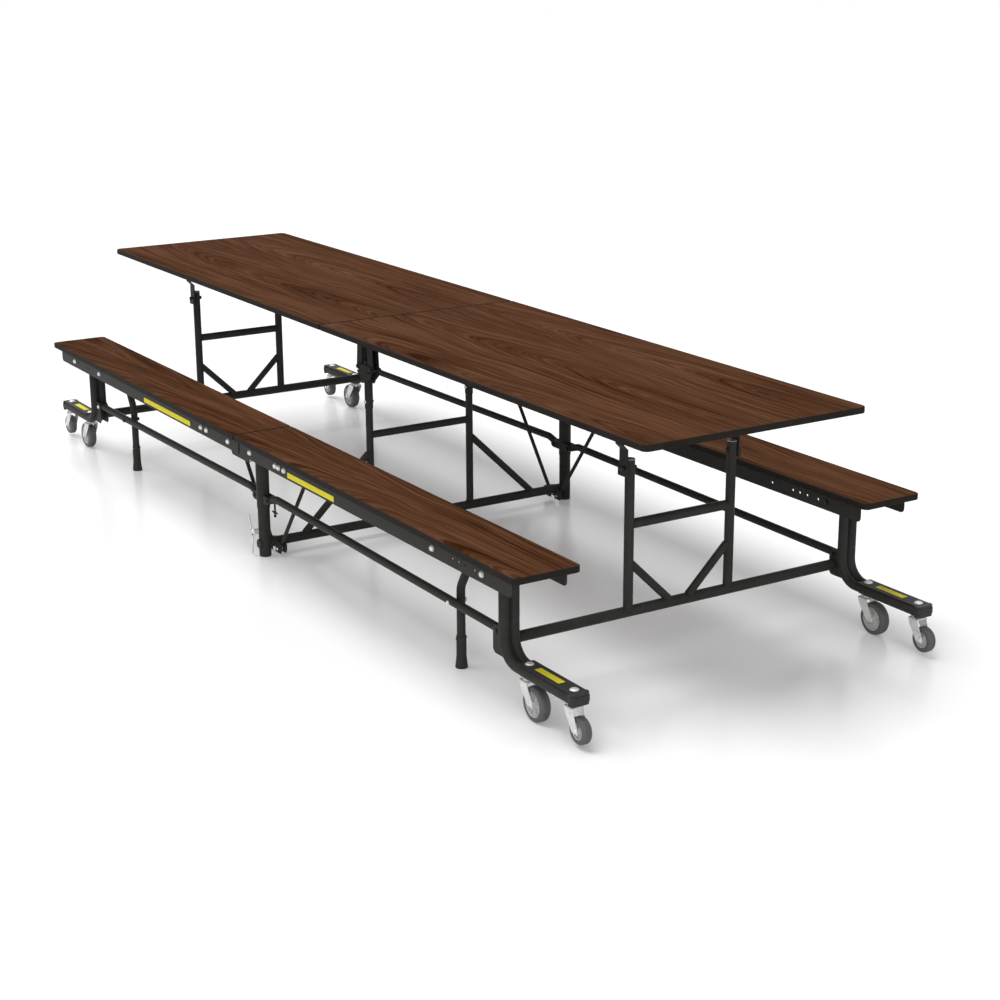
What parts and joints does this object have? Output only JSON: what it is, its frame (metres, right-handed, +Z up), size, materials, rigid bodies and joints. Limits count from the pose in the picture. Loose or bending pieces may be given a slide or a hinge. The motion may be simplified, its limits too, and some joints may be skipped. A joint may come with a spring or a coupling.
{
  "type": "folding cafeteria table with benches",
  "caption": "Folding cafeteria table on casters with two attached benches, hinged at the centre so both halves swing up to stand on end for rolling away.",
  "frame": {"origin": "on the floor at the centre of the table, midway between the two posts", "axes": "+X along the table towards the near end, +Y across the table towards the right bench, +Z up"},
  "size_m": [3.826, 1.422, 0.768],
  "materials": {
    "laminate": "dark walnut laminate, satin",
    "edge_vinyl": "black vinyl edge band",
    "frame_paint": "satin black powder coat",
    "zinc": "bright zinc plate",
    "black_plastic": "moulded, ribbed",
    "foot_rubber": "moulded rubber",
    "wheel_rubber": "grey tread with plastic hub"
  },
  "bodies": {
    "centre_frame": {"centre_posts": "frame_paint", "centre_truss": "frame_paint", "centre_brackets": "frame_paint", "centre_bolts": "zinc", "base_brackets": "zinc"},
    "latch_lever": {"latch_lever": "zinc"},
    "near_table": {"near_table_top": "laminate", "near_table_edge": "edge_vinyl", "near_table_frame": "frame_paint"},
    "near_benches": {"near_bench_board_left": "laminate", "near_bench_board_right": "laminate", "near_bench_edges": "edge_vinyl", "near_bench_rails_left": "frame_paint", "near_bench_rails_right": "frame_paint", "near_bench_bolts": "zinc"},
    "near_links": {"near_links": "frame_paint"},
    "near_end_frame": {"near_end_truss": "frame_paint", "near_s_leg_left": "frame_paint", "near_s_leg_right": "frame_paint", "near_arm_caps": "black_plastic", "near_frame_bolts": "zinc"},
    "near_mid_leg": {"near_mid_leg": "frame_paint", "near_mid_foot": "foot_rubber", "near_leg_bolts": "zinc"},
    "near_lock_rods": {"near_lock_rods": "frame_paint"},
    "near_inner_fork_left_swivel": {"near_inner_fork_left": "zinc"},
    "near_inner_wheel_left_roll": {"near_inner_wheel_left": "wheel_rubber"},
    "near_outer_fork_left_swivel": {"near_outer_fork_left": "zinc"},
    "near_outer_wheel_left_roll": {"near_outer_wheel_left": "wheel_rubber"},
    "near_inner_fork_right_swivel": {"near_inner_fork_right": "zinc"},
    "near_inner_wheel_right_roll": {"near_inner_wheel_right": "wheel_rubber"},
    "near_outer_fork_right_swivel": {"near_outer_fork_right": "zinc"},
    "near_outer_wheel_right_roll": {"near_outer_wheel_right": "wheel_rubber"},
    "far_table": {"far_table_top": "laminate", "far_table_edge": "edge_vinyl", "far_table_frame": "frame_paint"},
    "far_benches": {"far_bench_board_left": "laminate", "far_bench_board_right": "laminate", "far_bench_edges": "edge_vinyl", "far_bench_rails_left": "frame_paint", "far_bench_rails_right": "frame_paint", "far_bench_bolts": "zinc"},
    "far_links": {"far_links": "frame_paint"},
    "far_end_frame": {"far_end_truss": "frame_paint", "far_s_leg_left": "frame_paint", "far_s_leg_right": "frame_paint", "far_arm_caps": "black_plastic", "far_frame_bolts": "zinc"},
    "far_mid_leg": {"far_mid_leg": "frame_paint", "far_mid_foot": "foot_rubber", "far_leg_bolts": "zinc"},
    "far_lock_rods": {"far_lock_rods": "frame_paint"},
    "far_inner_fork_left_swivel": {"far_inner_fork_left": "zinc"},
    "far_inner_wheel_left_roll": {"far_inner_wheel_left": "wheel_rubber"},
    "far_outer_fork_left_swivel": {"far_outer_fork_left": "zinc"},
    "far_outer_wheel_left_roll": {"far_outer_wheel_left": "wheel_rubber"},
    "far_inner_fork_right_swivel": {"far_inner_fork_right": "zinc"},
    "far_inner_wheel_right_roll": {"far_inner_wheel_right": "wheel_rubber"},
    "far_outer_fork_right_swivel": {"far_outer_fork_right": "zinc"},
    "far_outer_wheel_right_roll": {"far_outer_wheel_right": "wheel_rubber"}
  },
  "joints": [
    {"name": "near_bench_fold", "type": "hinge", "parent": "centre_frame", "child": "near_benches", "pos_m": [0.085, 0, 0.392], "axis": [0, 1, 0], "range_deg": [0, 85]},
    {"name": "near_table_fold", "type": "hinge", "parent": "centre_frame", "child": "near_table", "pos_m": [0.045, 0, 0.598], "axis": [0, 1, 0], "range_deg": [0, 85]},
    {"name": "near_link_fold", "type": "hinge", "parent": "centre_frame", "child": "near_links", "pos_m": [0.045, 0, 0.205], "axis": [0, 1, 0], "range_deg": [0, 85]},
    {"name": "near_end_frame_swing", "type": "hinge", "parent": "near_benches", "child": "near_end_frame", "pos_m": [1.53, 0, 0.392], "axis": [0, 1, 0], "range_deg": [-85, 0]},
    {"name": "near_mid_leg_swing", "type": "hinge", "parent": "near_benches", "child": "near_mid_leg", "pos_m": [1.267, -0.575, 0.392], "axis": [0, 1, 0], "range_deg": [-85, 0]},
    {"name": "near_lock_rod_swing", "type": "hinge", "parent": "near_benches", "child": "near_lock_rods", "pos_m": [0.3, 0, 0.39], "axis": [0, 1, 0], "range_deg": [-121.72, 0]},
    {"name": "far_bench_fold", "type": "hinge", "parent": "centre_frame", "child": "far_benches", "pos_m": [-0.085, 0, 0.392], "axis": [0, -1, 0], "range_deg": [0, 85]},
    {"name": "far_table_fold", "type": "hinge", "parent": "centre_frame", "child": "far_table", "pos_m": [-0.045, 0, 0.598], "axis": [0, -1, 0], "range_deg": [0, 85]},
    {"name": "far_link_fold", "type": "hinge", "parent": "centre_frame", "child": "far_links", "pos_m": [-0.045, 0, 0.205], "axis": [0, -1, 0], "range_deg": [0, 85]},
    {"name": "far_end_frame_swing", "type": "hinge", "parent": "far_benches", "child": "far_end_frame", "pos_m": [-1.53, 0, 0.392], "axis": [0, -1, 0], "range_deg": [-85, 0]},
    {"name": "far_mid_leg_swing", "type": "hinge", "parent": "far_benches", "child": "far_mid_leg", "pos_m": [-1.267, -0.575, 0.392], "axis": [0, -1, 0], "range_deg": [-85, 0]},
    {"name": "far_lock_rod_swing", "type": "hinge", "parent": "far_benches", "child": "far_lock_rods", "pos_m": [-0.3, 0, 0.39], "axis": [0, -1, 0], "range_deg": [-121.72, 0]},
    {"name": "near_inner_caster_left_swivel", "type": "hinge", "parent": "near_end_frame", "child": "near_inner_fork_left_swivel", "pos_m": [1.632, -0.605, 0.1], "axis": [0, 0, 1], "continuous": true},
    {"name": "near_inner_caster_left_roll", "type": "hinge", "parent": "near_inner_fork_left_swivel", "child": "near_inner_wheel_left_roll", "pos_m": [1.668, -0.605, 0.05], "axis": [0, 1, 0], "continuous": true},
    {"name": "near_outer_caster_left_swivel", "type": "hinge", "parent": "near_end_frame", "child": "near_outer_fork_left_swivel", "pos_m": [1.844, -0.605, 0.1], "axis": [0, 0, 1], "continuous": true},
    {"name": "near_outer_caster_left_roll", "type": "hinge", "parent": "near_outer_fork_left_swivel", "child": "near_outer_wheel_left_roll", "pos_m": [1.875, -0.605, 0.049], "axis": [0, 1, 0], "continuous": true},
    {"name": "near_inner_caster_right_swivel", "type": "hinge", "parent": "near_end_frame", "child": "near_inner_fork_right_swivel", "pos_m": [1.632, 0.605, 0.1], "axis": [0, 0, 1], "continuous": true},
    {"name": "near_inner_caster_right_roll", "type": "hinge", "parent": "near_inner_fork_right_swivel", "child": "near_inner_wheel_right_roll", "pos_m": [1.668, 0.605, 0.05], "axis": [0, 1, 0], "continuous": true},
    {"name": "near_outer_caster_right_swivel", "type": "hinge", "parent": "near_end_frame", "child": "near_outer_fork_right_swivel", "pos_m": [1.844, 0.605, 0.1], "axis": [0, 0, 1], "continuous": true},
    {"name": "near_outer_caster_right_roll", "type": "hinge", "parent": "near_outer_fork_right_swivel", "child": "near_outer_wheel_right_roll", "pos_m": [1.875, 0.605, 0.049], "axis": [0, 1, 0], "continuous": true},
    {"name": "far_inner_caster_left_swivel", "type": "hinge", "parent": "far_end_frame", "child": "far_inner_fork_left_swivel", "pos_m": [-1.632, -0.605, 0.1], "axis": [0, 0, 1], "continuous": true},
    {"name": "far_inner_caster_left_roll", "type": "hinge", "parent": "far_inner_fork_left_swivel", "child": "far_inner_wheel_left_roll", "pos_m": [-1.668, -0.605, 0.05], "axis": [0, 1, 0], "continuous": true},
    {"name": "far_outer_caster_left_swivel", "type": "hinge", "parent": "far_end_frame", "child": "far_outer_fork_left_swivel", "pos_m": [-1.844, -0.605, 0.1], "axis": [0, 0, 1], "continuous": true},
    {"name": "far_outer_caster_left_roll", "type": "hinge", "parent": "far_outer_fork_left_swivel", "child": "far_outer_wheel_left_roll", "pos_m": [-1.875, -0.605, 0.049], "axis": [0, 1, 0], "continuous": true},
    {"name": "far_inner_caster_right_swivel", "type": "hinge", "parent": "far_end_frame", "child": "far_inner_fork_right_swivel", "pos_m": [-1.632, 0.605, 0.1], "axis": [0, 0, 1], "continuous": true},
    {"name": "far_inner_caster_right_roll", "type": "hinge", "parent": "far_inner_fork_right_swivel", "child": "far_inner_wheel_right_roll", "pos_m": [-1.668, 0.605, 0.05], "axis": [0, 1, 0], "continuous": true},
    {"name": "far_outer_caster_right_swivel", "type": "hinge", "parent": "far_end_frame", "child": "far_outer_fork_right_swivel", "pos_m": [-1.844, 0.605, 0.1], "axis": [0, 0, 1], "continuous": true},
    {"name": "far_outer_caster_right_roll", "type": "hinge", "parent": "far_outer_fork_right_swivel", "child": "far_outer_wheel_right_roll", "pos_m": [-1.875, 0.605, 0.049], "axis": [0, 1, 0], "continuous": true},
    {"name": "latch_lever_turn", "type": "hinge", "parent": "centre_frame", "child": "latch_lever", "pos_m": [-0.01, -0.6477, 0.088], "axis": [0, 1, 0], "range_deg": [0, 35]}
  ],
  "couplings": [
    {"joint": "near_table_fold", "follows": "near_bench_fold", "ratio": 1},
    {"joint": "near_link_fold", "follows": "near_bench_fold", "ratio": 1},
    {"joint": "near_end_frame_swing", "follows": "near_bench_fold", "ratio": -1},
    {"joint": "near_mid_leg_swing", "follows": "near_bench_fold", "ratio": -1},
    {"joint": "near_lock_rod_swing", "follows": "near_bench_fold", "ratio": -1.432},
    {"joint": "far_bench_fold", "follows": "near_bench_fold", "ratio": 1},
    {"joint": "far_table_fold", "follows": "near_bench_fold", "ratio": 1},
    {"joint": "far_link_fold", "follows": "near_bench_fold", "ratio": 1},
    {"joint": "far_end_frame_swing", "follows": "near_bench_fold", "ratio": -1},
    {"joint": "far_mid_leg_swing", "follows": "near_bench_fold", "ratio": -1},
    {"joint": "far_lock_rod_swing", "follows": "near_bench_fold", "ratio": -1.432}
  ]
}
